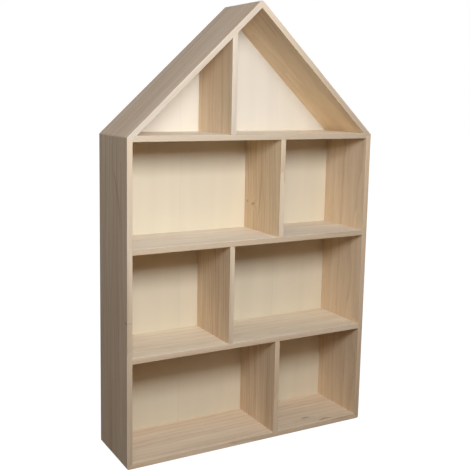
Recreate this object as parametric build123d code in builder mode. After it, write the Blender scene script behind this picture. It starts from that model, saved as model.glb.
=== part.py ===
from build123d import *
import math
import os
from collections import namedtuple

# House-shaped wall shelf in unfinished pale wood, with eight open compartments.
# Seen from the front, +X is to the right, +Y points to the wall and +Z is up. The origin is the
# centre of the base board's underside. Lengths are in millimetres, angles in degrees.

# Driving dimensions of the house
house_width = 400.0
board_depth = 100.0
board_thickness = 8.0
shelf_pitch = 150.0
eave_height = 456.0
roof_slope = 43.0
corner_rounding = 3.0
edge_easing = 0.5

# How far right of the centre line the middle of each divider stands
attic_divider_x = -41.5
upper_divider_x = 41.5
middle_divider_x = -39.5
lower_divider_x = 41.0

# Plywood back panel
panel_thickness = 3.0

# Steel pins: the long ones are sunk below the surface and filled over, the short ones end flush
Pin = namedtuple("Pin", "length radius head_radius head_height")
board_pin = Pin(length=25.0, radius=0.6, head_radius=0.9, head_height=0.8)
panel_pin = Pin(length=15.0, radius=0.6, head_radius=1.1, head_height=0.5)
pin_sink = 1.0
pin_spacing = 64.0
pin_hole_clearance = 0.05
panel_pin_first_height = 30.0
panel_pin_pitch = 80.0
panel_pins_up_each_side = 6
panel_pin_shelf_x = 130.0
panel_pin_attic_x = 160.0
panel_pin_roof_x = (30.0, 90.0, 150.0)

# Pressed steel keyhole hangers, each a strip whose middle stands off the panel
hanger_x = 100.0
hanger_height = 20.0
hanger_sheet = 1.0
hanger_pad_width = 20.0
hanger_foot_length = 10.0
hanger_stand_off = 2.6
hanger_bend_radius = 1.0
hanger_corner_radius = 2.0
keyhole_head_radius = 4.25
keyhole_slot_radius = 2.2
keyhole_drop = 3.5
keyhole_rise = 4.5

# Pan-head screws of the hangers
screw_radius = 1.5
screw_length = 12.0
screw_point_length = 2.5
screw_head_radius = 2.8
screw_head_height = 1.8
screw_recess_width = 0.7
screw_recess_length = 3.2
screw_recess_depth = 1.0
screw_hole_radius = 1.7
screw_pilot_radius = 1.55

# Sizes that follow from them
half_width = house_width / 2
inner_half_width = half_width - board_thickness
half_depth = board_depth / 2
panel_back = half_depth + panel_thickness
roof_rise = math.tan(math.radians(roof_slope))
ridge_height = eave_height + half_width * roof_rise
inner_ridge_height = ridge_height - board_thickness / math.cos(math.radians(roof_slope))
inner_eave_height = inner_ridge_height - inner_half_width * roof_rise
compartment_height = shelf_pitch - board_thickness
lower_shelf_height = shelf_pitch
upper_shelf_height = 2 * shelf_pitch
attic_floor_height = 3 * shelf_pitch
attic_floor_top = attic_floor_height + board_thickness
mid_board = board_thickness / 2
hanger_screw_x = hanger_pad_width / 2 + hanger_stand_off + hanger_foot_length / 2
hanger_centre_height = attic_floor_height + mid_board

hanger_screw_places = [
    (side * hanger_x + end * hanger_screw_x, hanger_centre_height)
    for side in (-1, 1)
    for end in (-1, 1)
]

front_plane = Plane.XZ.offset(half_depth)
back_plane = Plane.XZ.offset(-half_depth)
cut_margin = 1.0
from_start = (Align.CENTER, Align.CENTER, Align.MIN)

# The corners of the house, by their places in the two lists below
base_left, base_right, eave_right, ridge, eave_left = range(5)
outer_corners = [
    (-half_width, 0.0),
    (half_width, 0.0),
    (half_width, eave_height),
    (0.0, ridge_height),
    (-half_width, eave_height),
]
inner_corners = [
    (-inner_half_width, board_thickness),
    (inner_half_width, board_thickness),
    (inner_half_width, inner_eave_height),
    (0.0, inner_ridge_height),
    (-inner_half_width, inner_eave_height),
]


def roof_underside(x):
    """Height of the roof boards' underside, x right of the centre line."""
    return inner_ridge_height - abs(x) * roof_rise


def roof_top(x):
    """Height of the roof boards' upper face, x right of the centre line."""
    return ridge_height - abs(x) * roof_rise


# Where each pin starts and which way it points

def paired(x, z, direction):
    """Two pins at one place of the outline, one towards the front and one towards the back."""
    return [(Vector(x, y, z), Vector(*direction)) for y in (-pin_spacing / 2, pin_spacing / 2)]


def through_sides(z):
    """Level pins through both sides into the ends of the board that lies at this height."""
    start = half_width - pin_sink
    return paired(-start, z, (1, 0, 0)) + paired(start, z, (-1, 0, 0))


def into_divider(x, floor_underside, ceiling_top):
    """Pins up through the board below a divider and down through the one above it."""
    return (
        paired(x, floor_underside + pin_sink, (0, 0, 1))
        + paired(x, ceiling_top - pin_sink, (0, 0, -1))
    )


def through_ridge():
    """Pins from the left slope, close to the ridge, down the middle of the right roof board."""
    slope = math.radians(roof_slope)
    down_right = (math.cos(slope), 0, -math.sin(slope))
    reach = mid_board / math.cos(slope) / (2 * roof_rise)
    x = -reach + pin_sink * down_right[0]
    z = roof_top(reach) + pin_sink * down_right[2]
    return paired(x, z, down_right)


def into_back_edges():
    """Short pins through the back panel into the back edges of the boards."""
    side_x = half_width - mid_board
    heights = [panel_pin_first_height + panel_pin_pitch * n for n in range(panel_pins_up_each_side)]
    places = [(side * side_x, z) for side in (-1, 1) for z in heights]
    for shelf_height in (0, lower_shelf_height, upper_shelf_height, attic_floor_height):
        spread = panel_pin_attic_x if shelf_height == attic_floor_height else panel_pin_shelf_x
        places += [(x, shelf_height + mid_board) for x in (-spread, 0, spread)]
    for x in panel_pin_roof_x:
        places += [(side * x, (roof_underside(x) + roof_top(x)) / 2) for side in (-1, 1)]
    dividers = (lower_divider_x, middle_divider_x, upper_divider_x, attic_divider_x)
    for storey, x in enumerate(dividers):
        places.append((x, shelf_pitch * storey + board_thickness + compartment_height / 2))
    return [(Vector(x, panel_back, z), Vector(0, -1, 0)) for x, z in places]


pin_groups = {
    "base_pins": (board_pin, through_sides(mid_board)),
    "lower_shelf_pins": (board_pin, through_sides(lower_shelf_height + mid_board)),
    "upper_shelf_pins": (board_pin, through_sides(upper_shelf_height + mid_board)),
    "eave_pins": (board_pin, through_sides(attic_floor_height + mid_board)),
    "ridge_pins": (board_pin, through_ridge()),
    "lower_divider_pins": (
        board_pin,
        into_divider(lower_divider_x, 0, lower_shelf_height + board_thickness),
    ),
    "middle_divider_pins": (
        board_pin,
        into_divider(middle_divider_x, lower_shelf_height, upper_shelf_height + board_thickness),
    ),
    "upper_divider_pins": (
        board_pin,
        into_divider(upper_divider_x, upper_shelf_height, attic_floor_top),
    ),
    "attic_divider_pins": (
        board_pin,
        into_divider(attic_divider_x, attic_floor_height, roof_top(attic_divider_x)),
    ),
    "back_panel_pins": (panel_pin, into_back_edges()),
}


def add_pins(group, clearance=0.0):
    """The pins of one group: round shanks under wider flat heads, grown by the clearance."""
    pin, lines = pin_groups[group]
    for start, direction in lines:
        with Locations(Plane(origin=start, z_dir=direction)):
            Cylinder(pin.radius + clearance, pin.length, align=from_start)
            Cylinder(pin.head_radius + clearance, pin.head_height, align=from_start)


def holes_for(group):
    """The holes of one group of pins, as one solid to take away from a board."""
    with BuildPart() as holes:
        add_pins(group, pin_hole_clearance)
    return holes.part


pin_holes = {group: holes_for(group) for group in pin_groups}


def bore(*groups):
    """Bore the holes of these groups of pins into the board at hand."""
    for group in groups:
        add(pin_holes[group], mode=Mode.SUBTRACT)


# The outline of the house and the ring of outer boards, before the mitres part them

with BuildSketch() as house_outline:
    with BuildLine():
        FilletPolyline(*outer_corners, radius=corner_rounding, close=True)
    make_face()

with BuildPart() as outer_ring:
    with BuildSketch(front_plane):
        add(house_outline.sketch)
        with BuildLine():
            Polyline(*inner_corners, close=True)
        make_face(mode=Mode.SUBTRACT)
    extrude(amount=-board_depth)
    front_edges = edges().filter_by_position(Axis.Y, -half_depth, -half_depth)
    fillet(front_edges, radius=edge_easing)


def add_outer_board(first, second):
    """The stretch of the ring from one corner of the house to the next, cut by both mitres."""
    mitres = [(Vector(*outer_corners[n]), Vector(*inner_corners[n])) for n in (first, second)]
    (start_outer, start_inner), (end_outer, end_inner) = mitres
    start_mitre = start_outer - start_inner
    end_mitre = end_outer - end_inner
    add(outer_ring.part)
    with BuildSketch(front_plane.offset(cut_margin)) as between_mitres:
        with BuildLine():
            Polyline(
                start_outer + start_mitre,
                end_outer + end_mitre,
                end_inner - end_mitre / 2,
                start_inner - start_mitre / 2,
                close=True,
            )
        make_face()
    extrude(between_mitres.sketch, amount=-board_depth - 2 * cut_margin, mode=Mode.INTERSECT)


def ease_front(along):
    """Round over the two front edges that run along a board."""
    front = edges().filter_by(along).filter_by_position(Axis.Y, -half_depth, -half_depth)
    fillet(front, radius=edge_easing)


# Outer boards

with BuildPart() as left_side:
    add_outer_board(eave_left, base_left)
    bore("base_pins", "lower_shelf_pins", "upper_shelf_pins", "eave_pins", "back_panel_pins")

with BuildPart() as right_side:
    add_outer_board(base_right, eave_right)
    bore("base_pins", "lower_shelf_pins", "upper_shelf_pins", "eave_pins", "back_panel_pins")

with BuildPart() as base_board:
    add_outer_board(base_left, base_right)
    bore("base_pins", "lower_divider_pins", "back_panel_pins")

with BuildPart() as left_roof_board:
    add_outer_board(ridge, eave_left)
    bore("eave_pins", "ridge_pins", "attic_divider_pins", "back_panel_pins")

with BuildPart() as right_roof_board:
    add_outer_board(eave_right, ridge)
    bore("eave_pins", "ridge_pins", "back_panel_pins")


# Shelves

def add_shelf(underside):
    """A shelf between the sides, its underside at this height."""
    with Locations((0, 0, underside)):
        Box(2 * inner_half_width, board_depth, board_thickness, align=from_start)
    ease_front(Axis.X)


with BuildPart() as lower_shelf:
    add_shelf(lower_shelf_height)
    bore("lower_shelf_pins", "lower_divider_pins", "middle_divider_pins", "back_panel_pins")

with BuildPart() as upper_shelf:
    add_shelf(upper_shelf_height)
    bore("upper_shelf_pins", "middle_divider_pins", "upper_divider_pins", "back_panel_pins")


# The attic floor's ends stand square against the sides and slope back under the roof boards
attic_floor_top_x = (inner_ridge_height - attic_floor_top) / roof_rise

with BuildPart() as attic_floor:
    with BuildSketch(front_plane):
        with BuildLine():
            Polyline(
                (-inner_half_width, attic_floor_height),
                (inner_half_width, attic_floor_height),
                (inner_half_width, inner_eave_height),
                (attic_floor_top_x, attic_floor_top),
                (-attic_floor_top_x, attic_floor_top),
                (-inner_half_width, inner_eave_height),
                close=True,
            )
        make_face()
    extrude(amount=-board_depth)
    ease_front(Axis.X)
    bore("eave_pins", "upper_divider_pins", "attic_divider_pins", "back_panel_pins")
    with BuildSketch(back_plane):
        with Locations(*hanger_screw_places):
            Circle(screw_pilot_radius)
    extrude(amount=screw_length - panel_thickness - hanger_sheet, mode=Mode.SUBTRACT)


# Dividers

def add_divider(x, floor):
    """An upright divider between two shelves, standing on a floor at this height."""
    with Locations((x, 0, floor)):
        Box(board_thickness, board_depth, compartment_height, align=from_start)
    ease_front(Axis.Z)


with BuildPart() as lower_divider:
    add_divider(lower_divider_x, board_thickness)
    bore("lower_divider_pins", "back_panel_pins")

with BuildPart() as middle_divider:
    add_divider(middle_divider_x, lower_shelf_height + board_thickness)
    bore("middle_divider_pins", "back_panel_pins")

with BuildPart() as upper_divider:
    add_divider(upper_divider_x, upper_shelf_height + board_thickness)
    bore("upper_divider_pins", "back_panel_pins")

with BuildPart() as attic_divider:
    left_x = attic_divider_x - mid_board
    right_x = attic_divider_x + mid_board
    with BuildSketch(front_plane):
        with BuildLine():
            Polyline(
                (left_x, attic_floor_top),
                (right_x, attic_floor_top),
                (right_x, roof_underside(right_x)),
                (left_x, roof_underside(left_x)),
                close=True,
            )
        make_face()
    extrude(amount=-board_depth)
    ease_front(Axis.Z)
    bore("attic_divider_pins", "back_panel_pins")


# Back panel, cut to the outline of the house

with BuildPart() as back_panel:
    with BuildSketch(back_plane):
        add(house_outline.sketch)
        with Locations(*hanger_screw_places):
            Circle(screw_hole_radius, mode=Mode.SUBTRACT)
    extrude(amount=-panel_thickness)
    bore("back_panel_pins")


# Hangers and their screws

def add_hanger(x):
    """A steel strip with two flat feet and a raised middle with a keyhole, wide end down."""
    foot_end = hanger_pad_width / 2 + hanger_stand_off + hanger_foot_length
    foot_start = hanger_pad_width / 2 + hanger_stand_off
    foot_y = panel_back + hanger_sheet / 2
    pad_y = foot_y + hanger_stand_off
    bottom = hanger_centre_height - hanger_height / 2
    with BuildSketch(Plane.XY.offset(bottom)) as strip:
        with BuildLine():
            FilletPolyline(
                (x - foot_end, foot_y),
                (x - foot_start, foot_y),
                (x - hanger_pad_width / 2, pad_y),
                (x + hanger_pad_width / 2, pad_y),
                (x + foot_start, foot_y),
                (x + foot_end, foot_y),
                radius=hanger_bend_radius,
            )
        trace(line_width=hanger_sheet)
    extrude(strip.sketch, amount=hanger_height)
    fillet(edges().filter_by(Axis.Y), radius=hanger_corner_radius)
    with BuildSketch(Plane.XZ.offset(-panel_back)) as openings:
        with Locations(*hanger_screw_places):
            Circle(screw_hole_radius)
        with Locations((x, hanger_centre_height - keyhole_drop)):
            Circle(keyhole_head_radius)
        with Locations((x, hanger_centre_height + (keyhole_rise - keyhole_drop) / 2)):
            SlotCenterToCenter(keyhole_rise + keyhole_drop, 2 * keyhole_slot_radius, rotation=90)
    extrude(openings.sketch, amount=-2 * (hanger_stand_off + hanger_sheet), mode=Mode.SUBTRACT)


with BuildPart() as left_hanger:
    add_hanger(-hanger_x)

with BuildPart() as right_hanger:
    add_hanger(hanger_x)

# One screw on its own axis, point down, the flat underside of its head at height zero
with BuildPart() as screw:
    with BuildSketch(Plane.XZ):
        with BuildLine():
            head_rim = (screw_head_radius, screw_head_height / 3)
            head_top = (0, screw_head_height)
            Polyline(
                head_top,
                (0, -screw_length),
                (screw_radius, screw_point_length - screw_length),
                (screw_radius, 0),
                (screw_head_radius, 0),
                head_rim,
            )
            RadiusArc(head_rim, head_top, -2 * screw_head_radius)
        make_face()
    revolve(axis=Axis.Z)
    with Locations((0, 0, screw_head_height)):
        for turn in (0, 90):
            recess = (screw_recess_length, screw_recess_width, 2 * screw_recess_depth)
            Box(*recess, rotation=(0, 0, turn), mode=Mode.SUBTRACT)

with BuildPart() as hanger_screws:
    under_head = panel_back + hanger_sheet
    with Locations(*[Plane(origin=(x, under_head, z), z_dir=(0, 1, 0)) for x, z in hanger_screw_places]):
        add(screw.part)


# Write one file for each piece

pieces = {
    "left_side": left_side.part,
    "right_side": right_side.part,
    "base_board": base_board.part,
    "left_roof_board": left_roof_board.part,
    "right_roof_board": right_roof_board.part,
    "attic_floor": attic_floor.part,
    "upper_shelf": upper_shelf.part,
    "lower_shelf": lower_shelf.part,
    "attic_divider": attic_divider.part,
    "upper_divider": upper_divider.part,
    "middle_divider": middle_divider.part,
    "lower_divider": lower_divider.part,
    "back_panel": back_panel.part,
    "left_hanger": left_hanger.part,
    "right_hanger": right_hanger.part,
    "hanger_screws": hanger_screws.part,
}
for group in pin_groups:
    with BuildPart() as pins:
        add_pins(group)
    pieces[group] = pins.part

os.makedirs("parts", exist_ok=True)
for name, piece in pieces.items():
    piece.label = name
    export_step(piece, f"parts/{name}.step")
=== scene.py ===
"""The looks of a house-shaped wall shelf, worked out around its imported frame.

Every board, panel and fastener of the shelf keeps the shape that the frame gives it. This file gives
each one its finish and sets up the camera, the floor and the soft light.
Lengths are in metres, except the sizes of the shelf and of its patterns, which are in millimetres.
"""
import math
from typing import NamedTuple

import bpy
import numpy as np
from bpy.props import FloatProperty, FloatVectorProperty, PointerProperty
from mathutils import Matrix, Vector


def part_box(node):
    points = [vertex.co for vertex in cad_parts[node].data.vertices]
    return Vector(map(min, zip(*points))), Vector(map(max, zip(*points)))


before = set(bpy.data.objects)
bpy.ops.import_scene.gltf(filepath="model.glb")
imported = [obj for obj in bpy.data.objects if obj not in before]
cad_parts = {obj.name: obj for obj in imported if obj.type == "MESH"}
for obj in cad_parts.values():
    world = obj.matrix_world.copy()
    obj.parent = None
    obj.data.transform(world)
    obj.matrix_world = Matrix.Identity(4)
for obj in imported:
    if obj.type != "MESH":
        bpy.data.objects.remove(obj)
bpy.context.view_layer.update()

bl_info = {
    "name": "House-shaped wall shelf",
    "version": (1, 0, 0),
    "blender": (4, 5, 0),
    "location": "3D View > Sidebar > Shelf",
    "description": "Dresses a bare wooden wall shelf in its wood, panel, steel and light",
    "category": "Object",
}

MM = 0.001

# The driving sizes of the shelf, in millimetres, and the slope of its roof.
HALF_WIDTH = 200.0
BOARD_THICKNESS = 8.0
SHELF_PITCH = 150.0
EAVE_HEIGHT = 456.0
ROOF_SLOPE = math.radians(43.0)
# How high the underside of each level board lies.
BASE = 0.0
LOWER_SHELF = SHELF_PITCH
UPPER_SHELF = 2 * SHELF_PITCH
ATTIC_FLOOR = 3 * SHELF_PITCH
# How far right of the shelf's middle each divider stands.
LOWER_DIVIDER = 41.0
MIDDLE_DIVIDER = -39.5
UPPER_DIVIDER = 41.5
ATTIC_DIVIDER = -41.5
# The pins of a pair stand this far before and behind the middle of their board.
PIN_ROW = 32.0
# The ridge pins go in this far left of the ridge.
RIDGE_PIN = 2.9

# Directions of the grain, as a turn about the depth axis from level, left to right.
LEVEL = 0.0
UPRIGHT = -math.pi / 2
UP_LEFT_ROOF = -ROOF_SLOPE
DOWN_RIGHT_ROOF = ROOF_SLOPE

# The pattern of the boards, in millimetres. A pair of lengths is along and across the grain.
STREAK_LENGTH = 260.0
FIBRE_LENGTH = 34.0
WAVER = (95.0, 38.0)
WAVER_REACH = 9.0
RING_WANDER = (170.0, 30.0)
RING_WANDER_REACH = 14.0
MARK_WOBBLE = (12.0, 3.0)
FILLER_RADIUS = 1.3
FILLER_RIM = 0.3
GLUE_LINE_HALF = 0.3
# A board in one piece has its glue line past its edge.
NO_GLUE_LINE = 60.0
# Where a board lies in the log follows from the letters of its name. Its back strip lies a step further.
LETTER_STEP = 97.0
LOG_LENGTH = 5003.0
STRIP_STEP = (613.0, 31.0, 7.0)
# Farther from a pin than any place on a board.
FAR_AWAY = 1000.0

# Shares that shape the pattern of the boards.
PORE_TO_FIBRE_WIDTH = 0.7
FILLER_DEPTH = 0.7
GLUE_LINE_DEPTH = 0.3
# A mark is full up to the first share of its half length and half width, and gone at the second.
MARK_FULL = 0.3
MARK_GONE = 1.1
# The swell round a mark is so many times as long and as wide as the mark.
SWELL_LENGTH = 4
SWELL_WIDTH = 2
# Darker grain is also warmer: it loses less red and more blue than green.
DARK_GRAIN_WARMTH = (0.65, 1.0, 1.4)

# The pattern of the panel, in millimetres. A pair of lengths is along and across the grain.
VENEER_FIGURE = (300.0, 24.0)
VENEER_FIBRE = (40.0, 1.1)
VENEER_STEP = (411.0, 37.0, 19.0)
SEAM_HALF = 0.45
CORE_HALF = 0.5
# Painted light: the front veneer is painted paler and cooler between these heights, by these shares of its
# colour, for the bluish light that falls on the attic.
ATTIC_LIGHT_FROM = 400.0
ATTIC_LIGHT_TO = 480.0
PAINTED_ATTIC_LIGHT = (0.98, 1.02, 1.14)

# The haze on the zinc is coarser than its crystals: its scale is this share of theirs.
HAZE_SCALE = 0.35
# The size of a smear on the wire, in millimetres.
WIRE_SMEAR = 5.0 / 7.0

# The picture's side in pixels, and the pixel that the lens points at, from the left and from the top.
PICTURE_SIDE = 470.0
LENS_CENTRE = (211.187, 208.842)
# The width of the camera's film, in millimetres.
FILM_WIDTH = 36.0
# How far below the shelf the floor lies, in metres.
FLOOR_DROP = 0.2 * MM
SOFTBOX_COLOUR = (0.874, 0.923, 1.0)
GLOW_SPREAD = math.radians(60.0)
# Each glow is a lit part of the room: its direction from the shelf, its strength and its colour.
# The warm one takes the blue out of the shadows, and the last one lights the views from behind.
GLOWS = {
    "Ceiling_glow": ((0, -1, 1), 0.385, (0.92, 1.0, 0.98)),
    "Left_wall_glow": ((-1, 1, 0), 0.508, (0.87, 0.88, 1.0)),
    "Window_glow": ((-1, -1, 1), 0.327, (1.0, 0.937, 0.907)),
    "Warm_room_glow": ((0, -1, 0), 0.13, (1.0, 0.35, 0.12)),
    "Back_wall_glow": ((1.0, 1.4, 0.0), 2.8, (0.93, 0.96, 1.0)),
}


def linear(hex_colour):
    """The linear red, green and blue of an sRGB colour written as six hex digits."""
    shares = [int(hex_colour[i:i + 2], 16) / 255 for i in (1, 3, 5)]
    return tuple(s / 12.92 if s <= 0.04045 else ((s + 0.055) / 1.055) ** 2.4 for s in shares)


def add(tree, kind, settings=None, inputs=None):
    """Adds a shader node, gives it its settings, fills or links its inputs and hands back its outputs."""
    node = tree.nodes.new("ShaderNode" + kind)
    for name, value in (settings or {}).items():
        setattr(node, name, value)
    for name, value in (inputs or {}).items():
        if isinstance(value, bpy.types.NodeSocket):
            tree.links.new(value, node.inputs[name])
        else:
            node.inputs[name].default_value = value
    return node.outputs


def blank_material(name):
    """A new material with an empty node tree."""
    material = bpy.data.materials.new(name)
    material.use_nodes = True
    material.node_tree.nodes.clear()
    return material, material.node_tree


def dress(node, material):
    """Gives a node of the frame its one material."""
    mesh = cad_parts[node].data
    mesh.materials.clear()
    mesh.materials.append(material)


class Mark(NamedTuple):
    """A knot, stain, nick or stray ring line on a board. Lengths are in millimetres, the turn in degrees.

    Its middle lies so far along and across the grain. The bow bends both its ends sideways, in half
    widths, and the swell pushes the ring lines round it apart.
    """
    along: float
    across: float
    half_length: float
    half_width: float
    depth: float
    colour: str
    turn: float = 0.0
    bow: float = 0.0
    swell: float = 0.0


class Board(NamedTuple):
    """One board, in one piece or glued up from a front and a back strip, and how it was cut from the log.

    The heart of the log lies so far across and behind the middle of the board. The lean tilts it
    through the thickness, the slant turns it on the face. Lengths are in millimetres, turns in degrees.
    The pins are the places, rightwards and upwards in the frame, where a pair of sunk pins went in.
    """
    node: str
    grain: float
    face_colour: str
    edge_colour: str
    heart_across: float
    heart_behind: float
    lean: float
    slant: float
    ring_gap: float
    ring_depth: float
    streak_depth: float
    glue_line: float = NO_GLUE_LINE
    marks: tuple = ()
    pins: tuple = ()


def side_pins(rightwards):
    """The places of the pins through a side board, one pair into the end of each level board."""
    return tuple((rightwards, underside + BOARD_THICKNESS / 2)
                 for underside in (BASE, LOWER_SHELF, UPPER_SHELF, ATTIC_FLOOR))


def on_roof(rightwards):
    """A place on the outer face of the roof: it rises with the slope, from the eave to the ridge."""
    return rightwards, EAVE_HEIGHT + (HALF_WIDTH - abs(rightwards)) * math.tan(ROOF_SLOPE)


EDGE_NICK = Mark(-21.0, -46.0, 1.0, 7.0, 0.6, "#8C7459")
DARK_LINE = Mark(146.0, -17.0, 56.0, 2.4, 0.4, "#9C8468", turn=18.0, bow=4.0)
RIDGE_STREAKS = (
    Mark(-106.0, -30.0, 34.0, 3.0, 0.35, "#A98E6B", turn=3.0),
    Mark(-98.0, -40.0, 42.0, 2.4, 0.30, "#A98E6B", turn=3.0),
)
DARK_STAIN = Mark(112.0, -27.5, 10.0, 3.4, 0.5, "#836639", turn=4.0, swell=6.0)
REDDISH_ARCH = Mark(139.0, -43.0, 19.0, 2.4, 0.6, "#9A5F36", bow=-2.4)
DOUBLE_KNOT = (
    Mark(-31.0, 23.5, 3.2, 6.5, 0.6, "#9A7F4E", turn=12.0, bow=0.3, swell=7.0),
    Mark(-29.0, 41.0, 2.6, 4.5, 0.5, "#9A8457", turn=-8.0),
)
LINE_BESIDE_KNOT = Mark(-12.0, 4.0, 58.0, 2.6, 0.35, "#A3845C", turn=-6.0, bow=1.5)

SIDES = (
    Board("left_side", UPRIGHT, "#EACEA7", "#D8C1A4", 90.0, 60.0, 1.5, 1.0, 7.0, 0.30, 1.6,
          marks=(EDGE_NICK, DARK_LINE), pins=side_pins(-HALF_WIDTH)),
    Board("right_side", UPRIGHT, "#E6CCAA", "#E2C6A4", -80.0, -45.0, 1.0, 0.6, 6.5, 0.30, 1.0,
          pins=side_pins(HALF_WIDTH)),
)
ROOF_BOARDS = (
    Board("left_roof_board", UP_LEFT_ROOF, "#ECD2B5", "#D2C2AD", -80.0, 50.0, 0.6, 0.4, 7.0, 0.24, 1.5,
          glue_line=-17.0, pins=(on_roof(ATTIC_DIVIDER), on_roof(-RIDGE_PIN))),
    Board("right_roof_board", DOWN_RIGHT_ROOF, "#EED4AE", "#D3BDA1", 70.0, -55.0, 1.0, -0.8, 8.5, 0.20, 0.8,
          marks=RIDGE_STREAKS),
)
LEVEL_BOARDS = (
    # The attic floor's face colour is its pale wood made paler still by painted sheen, for the light its top
    # catches at a grazing view.
    Board("attic_floor", LEVEL, "#EFE2CF", "#CFBA9E", 80.0, -60.0, 0.5, 0.3, 8.0, 0.12, 0.6,
          pins=((UPPER_DIVIDER, ATTIC_FLOOR + BOARD_THICKNESS), (ATTIC_DIVIDER, ATTIC_FLOOR))),
    Board("upper_shelf", LEVEL, "#E8DAC7", "#D5BC9C", 70.0, -70.0, 0.5, -0.4, 9.0, 0.16, 1.1,
          glue_line=20.0,
          pins=((MIDDLE_DIVIDER, UPPER_SHELF + BOARD_THICKNESS), (UPPER_DIVIDER, UPPER_SHELF))),
    Board("lower_shelf", LEVEL, "#ECDBC2", "#E7CDAD", -70.0, -60.0, 0.6, 0.5, 7.5, 0.22, 1.2,
          glue_line=-12.0,
          pins=((LOWER_DIVIDER, LOWER_SHELF + BOARD_THICKNESS), (MIDDLE_DIVIDER, LOWER_SHELF))),
    Board("base_board", LEVEL, "#EED8BC", "#EBCFAC", 95.0, -50.0, 0.8, 0.8, 8.0, 0.34, 1.1,
          marks=(DARK_STAIN, REDDISH_ARCH), pins=((LOWER_DIVIDER, BASE),)),
)
DIVIDERS = (
    Board("attic_divider", UPRIGHT, "#E7D1B0", "#D5C5B0", -70.0, 45.0, 1.0, 0.8, 8.0, 0.22, 1.0,
          glue_line=18.0),
    Board("upper_divider", UPRIGHT, "#DEC4A0", "#DEC6A7", 70.0, 40.0, 3.0, 3.0, 7.0, 0.40, 1.6,
          glue_line=-8.7, marks=(*DOUBLE_KNOT, LINE_BESIDE_KNOT)),
    Board("middle_divider", UPRIGHT, "#E4CBAB", "#E1CBAE", -90.0, 40.0, 1.0, 2.5, 6.5, 0.50, 1.8),
    Board("lower_divider", UPRIGHT, "#E5CDAE", "#E9CFAC", 85.0, 40.0, 0.8, 0.5, 6.5, 0.42, 1.6,
          glue_line=2.2),
)


class WoodSettings(bpy.types.PropertyGroup):
    """What a user would change about the bare boards."""
    ring_colour: FloatVectorProperty(
        name="Growth rings", description="Colour of the line of wide pores that starts each growth ring",
        default=linear("#A38461"), size=3, min=0, max=1, subtype="COLOR")
    filler: FloatVectorProperty(
        name="Wood filler", description="Colour of the fine filler that is wiped over the sunk pins",
        default=linear("#DCC39C"), size=3, min=0, max=1, subtype="COLOR")
    streak_width: FloatProperty(
        name="Streak width", description="Width of the widest streaks along the grain",
        default=13 * MM, min=1 * MM, max=0.05, unit="LENGTH")
    streak_contrast: FloatProperty(
        name="Streak contrast", description="How much lighter and darker the streaks are",
        default=0.10, min=0, max=1, subtype="FACTOR")
    fibre_width: FloatProperty(
        name="Fibre width", description="Width of the fine fibres, drawn as coarse as they need to show",
        default=0.9 * MM, min=0.1 * MM, max=0.01, unit="LENGTH")
    pore_length: FloatProperty(
        name="Pore length", description="Length of the open pores, which are thin dark dashes",
        default=12 * MM, min=1 * MM, max=0.05, unit="LENGTH")


class PanelSettings(bpy.types.PropertyGroup):
    """What a user would change about the plywood back."""
    face: FloatVectorProperty(
        name="Face veneer", description="Colour of the pale veneer on both faces",
        default=linear("#E3D7BD"), size=3, min=0, max=1, subtype="COLOR")
    # Painted light: this share paints the front veneer in the attic paler and cooler, for the bluish light
    # that falls there.
    attic_light_share: FloatProperty(
        name="Pale top", description="How much paler and cooler the front veneer is in the attic",
        default=1.0, min=0, max=1, subtype="FACTOR")
    core: FloatVectorProperty(
        name="Core veneer", description="Colour of the middle ply, which shows on the panel's edges",
        default=linear("#C2A27C"), size=3, min=0, max=1, subtype="COLOR")
    left_seam: FloatProperty(
        name="Left seam", description="Where the left seam between two sheets of veneer stands",
        default=-75 * MM, unit="LENGTH")
    right_seam: FloatProperty(
        name="Right seam", description="Where the right seam between two sheets of veneer stands",
        default=94 * MM, unit="LENGTH")


class SteelSettings(bpy.types.PropertyGroup):
    """What a user would change about the hangers, screws and pins."""
    zinc: FloatVectorProperty(
        name="Zinc plating", description="Colour of the plated hangers and screws",
        default=linear("#C3C6C8"), size=3, min=0, max=1, subtype="COLOR")
    wire: FloatVectorProperty(
        name="Bright steel", description="Colour of the drawn steel pins",
        default=linear("#A9A8A6"), size=3, min=0, max=1, subtype="COLOR")
    grain: FloatProperty(
        name="Plating grain", description="Size of the crystals that mottle the plating",
        default=1.6 * MM, min=0.1 * MM, max=0.02, unit="LENGTH")


class StageSettings(bpy.types.PropertyGroup):
    """What a user would change about the camera, the light and the floor."""
    camera_place: FloatVectorProperty(
        name="Camera", description="Where the camera stands", default=(-0.57666, -0.98212, 0.51322),
        size=3, subtype="TRANSLATION", unit="LENGTH")
    camera_heading: FloatProperty(
        name="Heading", description="How far the camera is turned to the right of straight ahead",
        default=math.radians(28.277), subtype="ANGLE")
    camera_tilt: FloatProperty(
        name="Tilt", description="How far the camera looks down", default=math.radians(8.430),
        subtype="ANGLE")
    camera_roll: FloatProperty(
        name="Roll", description="How far the camera leans", default=math.radians(0.896),
        subtype="ANGLE")
    focal_length: FloatProperty(
        name="Focal length", description="Focal length on a 36 mm wide film", default=59.34,
        min=1, unit="CAMERA")
    key_place: FloatVectorProperty(
        name="Softbox", description="Middle of the large softbox beside the camera",
        default=(-0.24, -0.764, 0.742), size=3, subtype="TRANSLATION", unit="LENGTH")
    key_width: FloatProperty(
        name="Softbox width", description="Width of the softbox", default=0.50, min=0.01, unit="LENGTH")
    key_height: FloatProperty(
        name="Softbox height", description="Height of the softbox", default=0.275, min=0.01, unit="LENGTH")
    key_watts: FloatProperty(
        name="Softbox power", description="Power of the softbox", default=8.19, min=0, unit="POWER")
    floor_half: FloatProperty(
        name="Floor", description="Half the width of the floor", default=8.0, min=0.5, unit="LENGTH")


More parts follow.
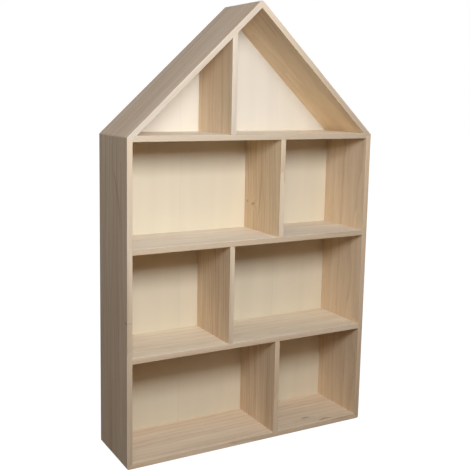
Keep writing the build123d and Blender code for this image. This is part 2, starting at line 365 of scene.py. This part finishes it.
def wood_place(tree, board):
    """Board coordinates in millimetres: along the grain, across the depth and through the thickness.

    The middle of the board is the origin. Beyond the glue line everything is shifted far away in the
    log, so that the two strips of the board show two different pieces of wood. A slow noise bends the
    grain a little, so the place in the log wavers.
    """
    low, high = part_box(board.node)
    place = add(tree, "Mapping", {"vector_type": "TEXTURE"}, {
        "Vector": add(tree, "TexCoord")["Object"],
        "Location": (low + high) / 2,
        "Rotation": (0.0, board.grain, 0.0),
        "Scale": (MM, MM, MM)})[0]
    across = add(tree, "SeparateXYZ", None, {0: place})["Y"]
    second_strip = add(tree, "Math", {"operation": "GREATER_THAN"}, {0: across, 1: board.glue_line})[0]
    log = add(tree, "VectorMath", {"operation": "MULTIPLY_ADD"}, {
        0: second_strip, 1: STRIP_STEP, 2: place})[0]
    own_place = LETTER_STEP * sum(ord(letter) for letter in board.node) % LOG_LENGTH
    log = add(tree, "VectorMath", {"operation": "ADD"}, {0: log, 1: (own_place, 0.0, 0.0)})[0]
    length, width = WAVER
    slow = add(tree, "VectorMath", {"operation": "MULTIPLY"}, {
        0: log, 1: (1 / length, 1 / width, 1 / width)})[0]
    waver = add(tree, "TexNoise", {"noise_dimensions": "3D"}, {
        "Vector": slow, "Scale": 1.0, "Detail": 1.0})["Color"]
    log = add(tree, "VectorMath", {"operation": "MULTIPLY_ADD"}, {
        0: waver, 1: (0.0, WAVER_REACH, WAVER_REACH), 2: log})[0]
    return place, across, log


def grained_noise(tree, log, length, width, detail=2.0, roughness=0.55):
    """Smooth noise from 0 to 1, drawn out along the grain: length by width in millimetres."""
    stretched = add(tree, "VectorMath", {"operation": "MULTIPLY"}, {
        0: log, 1: (1 / length, 1 / width, 1 / width)})[0]
    return add(tree, "TexNoise", {"noise_dimensions": "3D"}, {
        "Vector": stretched, "Scale": 1.0, "Detail": detail, "Roughness": roughness})["Fac"]


def mark_cover(tree, place, mark, wobble):
    """How much a mark covers: nothing outside its bent, wavering ellipse, and its depth in the middle."""
    inside = add(tree, "Mapping", {"vector_type": "TEXTURE"}, {
        "Vector": place, "Location": (mark.along, mark.across, 0.0),
        "Rotation": (0.0, 0.0, math.radians(mark.turn)),
        "Scale": (mark.half_length, mark.half_width, 1.0)})[0]
    parts = add(tree, "SeparateXYZ", None, {0: inside})
    square = add(tree, "Math", {"operation": "MULTIPLY"}, {0: parts["X"], 1: parts["X"]})[0]
    sideways = add(tree, "Math", {"operation": "MULTIPLY_ADD"}, {0: square, 1: -mark.bow, 2: parts["Y"]})[0]
    flat = add(tree, "CombineXYZ", None, {"X": parts["X"], "Y": sideways})[0]
    reach = add(tree, "VectorMath", {"operation": "LENGTH"}, {0: flat})["Value"]
    reach = add(tree, "Math", {"operation": "ADD"}, {0: reach, 1: wobble})[0]
    return add(tree, "MapRange", {"interpolation_type": "SMOOTHSTEP"}, {
        "Value": reach, "From Min": MARK_GONE, "From Max": MARK_FULL,
        "To Min": 0.0, "To Max": mark.depth})[0]


def filler_cover(tree, board, place):
    """How much the spots of wood filler over the sunk pins cover: most in the middle, with a soft rim.

    The pins stand in pairs, one before and one behind the middle of the board. The distance to the
    nearest one is the length of the nearest offset along the grain and the offset from its row.
    """
    low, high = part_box(board.node)
    middle = (low + high) / 2 / MM
    parts = add(tree, "SeparateXYZ", None, {0: place})
    from_middle = add(tree, "Math", {"operation": "ABSOLUTE"}, {0: parts["Y"]})[0]
    sideways = add(tree, "Math", {"operation": "SUBTRACT"}, {0: from_middle, 1: PIN_ROW})[0]
    nearest = FAR_AWAY
    for x, z in board.pins:
        along = (x - middle.x) * math.cos(board.grain) - (z - middle.z) * math.sin(board.grain)
        offset = add(tree, "Math", {"operation": "SUBTRACT"}, {0: parts["X"], 1: along})[0]
        offset = add(tree, "Math", {"operation": "ABSOLUTE"}, {0: offset})[0]
        nearest = add(tree, "Math", {"operation": "MINIMUM"}, {0: offset, 1: nearest})[0]
    flat = add(tree, "CombineXYZ", None, {"X": nearest, "Y": sideways})[0]
    reach = add(tree, "VectorMath", {"operation": "LENGTH"}, {0: flat})["Value"]
    return add(tree, "MapRange", {"interpolation_type": "SMOOTHSTEP"}, {
        "Value": reach, "From Min": FILLER_RADIUS + FILLER_RIM, "From Max": FILLER_RADIUS - FILLER_RIM,
        "To Min": 0.0, "To Max": FILLER_DEPTH})[0]


def ring_lines(tree, board, log, place, wobble):
    """The lines of wide pores that start the growth rings, from 0 to 1: a sharp start, then a fading tail.

    A ring is a tube about the heart of the log, so the distance to the heart, divided by the gap from
    ring to ring, gives the ring and the place in it. Each ring is as dark as its own number makes it.
    """
    from_heart = add(tree, "Mapping", {"vector_type": "TEXTURE"}, {
        "Vector": log,
        "Location": (0.0, board.heart_across, board.heart_behind),
        "Rotation": (0.0, math.radians(board.lean), math.radians(board.slant))})[0]
    section = add(tree, "VectorMath", {"operation": "MULTIPLY"}, {0: from_heart, 1: (0, 1, 1)})[0]
    distance = add(tree, "VectorMath", {"operation": "LENGTH"}, {0: section})["Value"]
    wander = grained_noise(tree, log, *RING_WANDER, detail=3.0)
    distance = add(tree, "Math", {"operation": "MULTIPLY_ADD"}, {
        0: wander, 1: RING_WANDER_REACH, 2: distance})[0]
    for mark in board.marks:
        if mark.swell:
            wide = mark._replace(
                half_length=mark.half_length * SWELL_LENGTH, half_width=mark.half_width * SWELL_WIDTH,
                depth=1.0)
            swell = mark_cover(tree, place, wide, wobble)
            distance = add(tree, "Math", {"operation": "MULTIPLY_ADD"}, {
                0: swell, 1: mark.swell, 2: distance})[0]
    turns = add(tree, "Math", {"operation": "DIVIDE"}, {0: distance, 1: board.ring_gap})[0]
    number = add(tree, "Math", {"operation": "FLOOR"}, {0: turns})[0]
    own = add(tree, "TexWhiteNoise", {"noise_dimensions": "1D"}, {"W": number})["Value"]
    darkness = add(tree, "MapRange", None, {"Value": own, "To Min": 0.25, "To Max": 1.0})[0]
    share = add(tree, "Math", {"operation": "FRACT"}, {0: turns})[0]
    left = add(tree, "Math", {"operation": "SUBTRACT"}, {0: 1.0, 1: share})[0]
    tail = add(tree, "Math", {"operation": "POWER"}, {0: left, 1: 2.5})[0]
    return add(tree, "Math", {"operation": "MULTIPLY"}, {0: tail, 1: darkness})[0]


def bare_paulownia(board, wood):
    """Bare sanded paulownia: a pale, dull, very light wood with wide soft rings and long open pores.

    The eye gets long soft streaks, brown ring lines, fine fibres, short dark pore dashes, narrow edges
    in a tone of their own, spots of filler over the sunk pins, and no gloss.
    """
    material, tree = blank_material("Bare_sanded_paulownia_" + board.node)
    place, across, log = wood_place(tree, board)
    wobble = add(tree, "MapRange", None, {
        "Value": grained_noise(tree, log, *MARK_WOBBLE), "To Min": -0.5, "To Max": 0.5})[0]
    rings = ring_lines(tree, board, log, place, wobble)
    # Real fibres and pores are finer than a pixel, so both are drawn as coarse as they need to show.
    streaks = grained_noise(tree, log, STREAK_LENGTH, wood.streak_width / MM, detail=3.0, roughness=0.5)
    fibres = grained_noise(tree, log, FIBRE_LENGTH, wood.fibre_width / MM)
    pore_width = wood.fibre_width / MM * PORE_TO_FIBRE_WIDTH
    dashes = grained_noise(tree, log, wood.pore_length / MM, pore_width, detail=0.0)
    pores = add(tree, "MapRange", {"interpolation_type": "SMOOTHSTEP"}, {
        "Value": dashes, "From Min": 0.62, "From Max": 0.72})[0]

    depthwise = add(tree, "SeparateXYZ", None, {0: add(tree, "TexCoord")["Normal"]})["Y"]
    edge = add(tree, "MapRange", {"interpolation_type": "SMOOTHSTEP"}, {
        "Value": add(tree, "Math", {"operation": "ABSOLUTE"}, {0: depthwise})[0],
        "From Min": 0.5, "From Max": 0.95})[0]
    colour = add(tree, "Mix", {"data_type": "RGBA"}, {
        0: edge, 6: (*linear(board.face_colour), 1), 7: (*linear(board.edge_colour), 1)})[2]
    colour = add(tree, "Mix", {"data_type": "RGBA"}, {
        0: add(tree, "Math", {"operation": "MULTIPLY"}, {0: rings, 1: board.ring_depth})[0],
        6: colour, 7: (*wood.ring_colour, 1)})[2]
    contrast = wood.streak_contrast * board.streak_depth
    shade = add(tree, "MapRange", {"clamp": False}, {
        "Value": streaks, "From Min": 0.25, "From Max": 0.75,
        "To Min": 1.0 - contrast, "To Max": 1.0 + contrast})[0]
    fine_shade = add(tree, "MapRange", None, {
        "Value": fibres, "From Min": 0.25, "From Max": 0.75, "To Min": 0.955, "To Max": 1.045})[0]
    shade = add(tree, "Math", {"operation": "MULTIPLY"}, {0: shade, 1: fine_shade})[0]
    shade = add(tree, "Math", {"operation": "MULTIPLY_ADD"}, {0: pores, 1: -0.08, 2: shade})[0]
    deviation = add(tree, "Math", {"operation": "SUBTRACT"}, {0: shade, 1: 1.0})[0]
    warmth = add(tree, "VectorMath", {"operation": "MULTIPLY_ADD"}, {
        0: deviation, 1: DARK_GRAIN_WARMTH, 2: (1.0, 1.0, 1.0)})[0]
    colour = add(tree, "VectorMath", {"operation": "MULTIPLY"}, {0: colour, 1: warmth})[0]
    for mark in board.marks:
        colour = add(tree, "Mix", {"data_type": "RGBA"}, {
            0: mark_cover(tree, place, mark, wobble), 6: colour, 7: (*linear(mark.colour), 1)})[2]
    glue = add(tree, "Math", {"operation": "COMPARE"}, {0: across, 1: board.glue_line, 2: GLUE_LINE_HALF})[0]
    colour = add(tree, "Mix", {"data_type": "RGBA"}, {
        0: add(tree, "Math", {"operation": "MULTIPLY"}, {0: glue, 1: GLUE_LINE_DEPTH})[0],
        6: colour, 7: (*wood.ring_colour, 1)})[2]
    if board.pins:
        colour = add(tree, "Mix", {"data_type": "RGBA"}, {
            0: filler_cover(tree, board, place), 6: colour, 7: (*wood.filler, 1)})[2]

    height = add(tree, "Math", {"operation": "MULTIPLY_ADD"}, {0: pores, 1: -1.0, 2: fibres})[0]
    relief = add(tree, "Bump", None, {"Strength": 0.35, "Distance": 0.06 * MM, "Height": height})[0]
    dullness = add(tree, "MapRange", None, {"Value": rings, "To Min": 0.56, "To Max": 0.66})[0]
    surface = add(tree, "BsdfPrincipled", None, {
        "Base Color": colour, "Roughness": dullness, "IOR": 1.5, "Specular IOR Level": 0.4,
        "Normal": relief})[0]
    add(tree, "OutputMaterial", None, {"Surface": surface})
    return material


def dress_boards(boards, wood):
    """Gives each board its own wood."""
    for board in boards:
        dress(board.node, bare_paulownia(board, wood))


def poplar_plywood(panel):
    """Three-ply sheet with pale peeled poplar faces, sanded: almost no figure, upright and very faint.

    The eye gets one calm pale face with two hairline seams between the veneers, with painted light
    making the front paler and cooler in the attic, and on the panel's edges a darker middle ply.
    """
    material, tree = blank_material("Sanded_poplar_plywood")
    low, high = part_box("back_panel")
    place = add(tree, "Mapping", {"vector_type": "TEXTURE"}, {
        "Vector": add(tree, "TexCoord")["Object"],
        "Location": (0.0, (low.y + high.y) / 2, 0.0),
        "Rotation": (0.0, UPRIGHT, 0.0),
        "Scale": (MM, MM, MM)})[0]
    parts = add(tree, "SeparateXYZ", None, {0: place})
    sideways = parts["Z"]
    # Turned upright, the pattern's third axis runs from right to left.
    seams = [-seam / MM for seam in (panel.left_seam, panel.right_seam)]
    beyond = [add(tree, "Math", {"operation": "GREATER_THAN"}, {0: sideways, 1: seam})[0] for seam in seams]
    lines = [add(tree, "Math", {"operation": "COMPARE"}, {0: sideways, 1: seam, 2: SEAM_HALF})[0]
             for seam in seams]
    sheet = add(tree, "Math", {"operation": "ADD"}, {0: beyond[0], 1: beyond[1]})[0]
    line = add(tree, "Math", {"operation": "ADD"}, {0: lines[0], 1: lines[1]})[0]
    log = add(tree, "VectorMath", {"operation": "MULTIPLY_ADD"}, {0: sheet, 1: VENEER_STEP, 2: place})[0]
    figure = grained_noise(tree, log, *VENEER_FIGURE, detail=1.0)
    # The veneer's fibres too are drawn as coarse as they need to show.
    fibres = grained_noise(tree, log, *VENEER_FIBRE, detail=3.0)
    shade = add(tree, "MapRange", None, {
        "Value": figure, "From Min": 0.3, "From Max": 0.7, "To Min": 0.975, "To Max": 1.02})[0]
    fine_shade = add(tree, "MapRange", None, {
        "Value": fibres, "From Min": 0.3, "From Max": 0.7, "To Min": 0.993, "To Max": 1.006})[0]
    shade = add(tree, "Math", {"operation": "MULTIPLY"}, {0: shade, 1: fine_shade})[0]
    shade = add(tree, "Math", {"operation": "MULTIPLY_ADD"}, {0: line, 1: -0.05, 2: shade})[0]
    core = add(tree, "Math", {"operation": "COMPARE"}, {0: parts["Y"], 1: 0.0, 2: CORE_HALF})[0]
    # Painted light: the front veneer is painted paler and cooler in the attic, standing in for the bluish
    # light that falls there.
    height = add(tree, "MapRange", {"interpolation_type": "SMOOTHSTEP"}, {
        "Value": parts["X"], "From Min": ATTIC_LIGHT_FROM, "From Max": ATTIC_LIGHT_TO,
        "To Min": 0.0, "To Max": panel.attic_light_share})[0]
    front_veneer = add(tree, "Math", {"operation": "LESS_THAN"}, {0: parts["Y"], 1: 0.0})[0]
    painted_light = add(tree, "Math", {"operation": "MULTIPLY"}, {0: height, 1: front_veneer})[0]
    pale = tuple(share * more for share, more in zip(panel.face, PAINTED_ATTIC_LIGHT))
    colour = add(tree, "Mix", {"data_type": "RGBA"}, {
        0: painted_light, 6: (*panel.face, 1), 7: (*pale, 1)})[2]
    colour = add(tree, "Mix", {"data_type": "RGBA"}, {0: core, 6: colour, 7: (*panel.core, 1)})[2]
    colour = add(tree, "VectorMath", {"operation": "SCALE"}, {0: colour, "Scale": shade})[0]
    relief = add(tree, "Bump", None, {"Strength": 0.25, "Distance": 0.05 * MM, "Height": fibres})[0]
    surface = add(tree, "BsdfPrincipled", None, {
        "Base Color": colour, "Roughness": 0.7, "IOR": 1.5, "Specular IOR Level": 0.25,
        "Normal": relief})[0]
    add(tree, "OutputMaterial", None, {"Surface": surface})
    return material


def zinc_plated_steel(steel, name, roughness):
    """Pressed steel with bright zinc plating: cool grey, softly mottled by its crystals, half dull."""
    material, tree = blank_material(name)
    place = add(tree, "TexCoord")["Object"]
    cells = add(tree, "TexVoronoi", None, {"Vector": place, "Scale": 1 / steel.grain})["Color"]
    tone = add(tree, "SeparateXYZ", None, {0: cells})[0]
    haze = add(tree, "TexNoise", None, {
        "Vector": place, "Scale": HAZE_SCALE / steel.grain, "Detail": 3.0})[0]
    shade = add(tree, "MapRange", None, {"Value": tone, "To Min": 0.86, "To Max": 1.0})[0]
    colour = add(tree, "VectorMath", {"operation": "SCALE"}, {0: tuple(steel.zinc), "Scale": shade})[0]
    dullness = add(tree, "MapRange", None, {
        "Value": haze, "From Min": 0.3, "From Max": 0.7,
        "To Min": roughness - 0.06, "To Max": roughness + 0.08})[0]
    relief = add(tree, "Bump", None, {"Strength": 0.15, "Distance": 0.02 * MM, "Height": haze})[0]
    surface = add(tree, "BsdfPrincipled", None, {
        "Base Color": colour, "Metallic": 1.0, "Roughness": dullness, "Normal": relief})[0]
    add(tree, "OutputMaterial", None, {"Surface": surface})
    return material


def drawn_steel_wire(steel):
    """Bright drawn steel wire, cut and headed into pins: grey, finely smeared."""
    material, tree = blank_material("Bright_drawn_steel_pins")
    place = add(tree, "TexCoord")["Object"]
    smears = add(tree, "TexNoise", None, {
        "Vector": place, "Scale": 1 / (WIRE_SMEAR * MM), "Detail": 3.0})[0]
    shade = add(tree, "MapRange", None, {"Value": smears, "To Min": 0.8, "To Max": 1.05})[0]
    colour = add(tree, "VectorMath", {"operation": "SCALE"}, {0: tuple(steel.wire), "Scale": shade})[0]
    dullness = add(tree, "MapRange", None, {"Value": smears, "To Min": 0.25, "To Max": 0.45})[0]
    surface = add(tree, "BsdfPrincipled", None, {
        "Base Color": colour, "Metallic": 1.0, "Roughness": dullness})[0]
    add(tree, "OutputMaterial", None, {"Surface": surface})
    return material


def white_floor():
    """Seamless white studio floor: it shines pure white, so no edge or shadow shows on it."""
    material, tree = blank_material("Seamless_white_floor")
    glow = add(tree, "Emission", None, {"Color": (1, 1, 1, 1), "Strength": 1.0})[0]
    paper = add(tree, "BsdfDiffuse", None, {"Color": (0.12, 0.12, 0.12, 1)})[0]
    surface = add(tree, "AddShader", None, {0: glow, 1: paper})[0]
    add(tree, "OutputMaterial", None, {"Surface": surface})
    return material


def square_floor(half, drop, material):
    """A level square about the origin: its corners lie half to either side, and the drop below the shelf."""
    corners = half * np.array([(-1, -1, 0), (1, -1, 0), (1, 1, 0), (-1, 1, 0)]) - (0, 0, drop)
    mesh = bpy.data.meshes.new("White_floor")
    mesh.from_pydata(corners.tolist(), [], [(0, 1, 2, 3)])
    mesh.materials.append(material)
    floor = bpy.data.objects.new("White_floor", mesh)
    bpy.context.scene.collection.objects.link(floor)
    return floor


class SHELF_OT_side_boards(bpy.types.Operator):
    """Dresses the two upright side boards in their wood"""
    bl_idname = "shelf.side_boards"
    bl_label = "Side boards"

    def execute(self, context):
        dress_boards(SIDES, context.scene.shelf_wood)
        return {"FINISHED"}


class SHELF_OT_roof_boards(bpy.types.Operator):
    """Dresses the two sloping roof boards in their wood"""
    bl_idname = "shelf.roof_boards"
    bl_label = "Roof boards"

    def execute(self, context):
        dress_boards(ROOF_BOARDS, context.scene.shelf_wood)
        return {"FINISHED"}


class SHELF_OT_level_boards(bpy.types.Operator):
    """Dresses the base board, both shelves and the attic floor in their wood"""
    bl_idname = "shelf.level_boards"
    bl_label = "Base, shelves and attic floor"

    def execute(self, context):
        dress_boards(LEVEL_BOARDS, context.scene.shelf_wood)
        return {"FINISHED"}


class SHELF_OT_dividers(bpy.types.Operator):
    """Dresses the four upright dividers in their wood"""
    bl_idname = "shelf.dividers"
    bl_label = "Dividers"

    def execute(self, context):
        dress_boards(DIVIDERS, context.scene.shelf_wood)
        return {"FINISHED"}


class SHELF_OT_back_panel(bpy.types.Operator):
    """Dresses the thin back panel in its plywood"""
    bl_idname = "shelf.back_panel"
    bl_label = "Back panel"

    def execute(self, context):
        dress("back_panel", poplar_plywood(context.scene.shelf_panel))
        return {"FINISHED"}


class SHELF_OT_hangers(bpy.types.Operator):
    """Dresses the two keyhole hangers and their screws in zinc plating"""
    bl_idname = "shelf.hangers"
    bl_label = "Hangers and screws"

    def execute(self, context):
        steel = context.scene.shelf_steel
        plate = zinc_plated_steel(steel, "Zinc_plated_pressed_steel", roughness=0.36)
        for node in ("left_hanger", "right_hanger"):
            dress(node, plate)
        screw_steel = zinc_plated_steel(steel, "Zinc_plated_screw_steel", roughness=0.28)
        dress("hanger_screws", screw_steel)
        return {"FINISHED"}


class SHELF_OT_pins(bpy.types.Operator):
    """Dresses every group of pins in bright drawn steel"""
    bl_idname = "shelf.pins"
    bl_label = "Pins"

    def execute(self, context):
        wire = drawn_steel_wire(context.scene.shelf_steel)
        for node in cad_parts:
            if node.endswith("_pins"):
                dress(node, wire)
        return {"FINISHED"}


def place_camera(stage):
    """Stands the camera where the photograph was taken from, its lens shifted to the fitted centre."""
    lens = bpy.data.cameras.new("Camera")
    lens.sensor_width = FILM_WIDTH
    lens.lens = stage.focal_length
    lens.shift_x = 0.5 - LENS_CENTRE[0] / PICTURE_SIDE
    lens.shift_y = LENS_CENTRE[1] / PICTURE_SIDE - 0.5
    camera = bpy.data.objects.new("Camera", lens)
    bpy.context.scene.collection.objects.link(camera)
    turn = Matrix.Rotation(-stage.camera_heading, 4, "Z")
    turn @= Matrix.Rotation(math.pi / 2 - stage.camera_tilt, 4, "X")
    turn @= Matrix.Rotation(stage.camera_roll, 4, "Z")
    camera.matrix_world = Matrix.Translation(stage.camera_place) @ turn
    bpy.context.scene.camera = camera


def place_softbox(name, place, aim, width, height, watts, colour):
    """A rectangular softbox that faces a point."""
    light = bpy.data.lights.new(name, "AREA")
    light.shape = "RECTANGLE"
    light.size = width
    light.size_y = height
    light.energy = watts
    light.color = colour
    box = bpy.data.objects.new(name, light)
    bpy.context.scene.collection.objects.link(box)
    box.location = place
    box.rotation_euler = (Vector(aim) - Vector(place)).to_track_quat("-Z", "Y").to_euler()


def place_glow(name, direction, strength, colour):
    """Very soft light from a wide part of the studio, such as a lit wall or ceiling."""
    light = bpy.data.lights.new(name, "SUN")
    light.angle = GLOW_SPREAD
    light.energy = strength
    light.color = colour
    glow = bpy.data.objects.new(name, light)
    bpy.context.scene.collection.objects.link(glow)
    glow.rotation_euler = (-Vector(direction)).to_track_quat("-Z", "Y").to_euler()


def white_surroundings(scene):
    """A white background that itself lights nothing, so that only the lamps shape the shelf."""
    world = bpy.data.worlds.new("White_surroundings")
    world.use_nodes = True
    tree = world.node_tree
    tree.nodes.clear()
    seen = add(tree, "LightPath")["Is Camera Ray"]
    backdrop = add(tree, "Background", None, {"Color": (1, 1, 1, 1), "Strength": seen})[0]
    add(tree, "OutputWorld", None, {"Surface": backdrop})
    scene.world = world


class SHELF_OT_stage(bpy.types.Operator):
    """Sets up the camera, the white floor and the soft studio light"""
    bl_idname = "shelf.stage"
    bl_label = "Camera, floor and light"

    def execute(self, context):
        scene = context.scene
        stage = scene.shelf_stage
        scene.view_settings.view_transform = "Standard"
        place_camera(stage)
        x, y, z = stage.key_place
        place_softbox("Key_softbox", (x, y, z), (x, 0.0, z), stage.key_width, stage.key_height,
                      stage.key_watts, SOFTBOX_COLOUR)
        for name, (direction, strength, colour) in GLOWS.items():
            place_glow(name, direction, strength, colour)
        white_surroundings(scene)
        floor = square_floor(stage.floor_half, FLOOR_DROP, white_floor())
        floor.visible_diffuse = False
        floor.visible_glossy = False
        floor.visible_shadow = False
        return {"FINISHED"}


class SHELF_PT_sidebar(bpy.types.Panel):
    """Lists every step and the settings"""
    bl_idname = "SHELF_PT_sidebar"
    bl_label = "Wall shelf"
    bl_space_type = "VIEW_3D"
    bl_region_type = "UI"
    bl_category = "Shelf"

    def draw(self, context):
        for step in STEPS:
            self.layout.operator(step.bl_idname)
        for group in SETTINGS:
            for name in SETTINGS[group].__annotations__:
                self.layout.prop(getattr(context.scene, group), name)


SETTINGS = {
    "shelf_wood": WoodSettings,
    "shelf_panel": PanelSettings,
    "shelf_steel": SteelSettings,
    "shelf_stage": StageSettings,
}
STEPS = (
    SHELF_OT_stage,
    SHELF_OT_side_boards,
    SHELF_OT_roof_boards,
    SHELF_OT_level_boards,
    SHELF_OT_dividers,
    SHELF_OT_back_panel,
    SHELF_OT_hangers,
    SHELF_OT_pins,
)


def register():
    """Makes the settings, the steps and the sidebar known to Blender."""
    for kind in (*SETTINGS.values(), *STEPS, SHELF_PT_sidebar):
        bpy.utils.register_class(kind)
    for name, kind in SETTINGS.items():
        setattr(bpy.types.Scene, name, PointerProperty(type=kind))


def unregister():
    """Takes them away again."""
    for name in SETTINGS:
        delattr(bpy.types.Scene, name)
    for kind in (SHELF_PT_sidebar, *reversed(STEPS), *reversed(list(SETTINGS.values()))):
        bpy.utils.unregister_class(kind)


def main():
    """Builds the whole scene, step by step."""
    register()
    for step in STEPS:
        group, name = step.bl_idname.split(".")
        getattr(getattr(bpy.ops, group), name)()


if __name__ == "__main__":
    main()
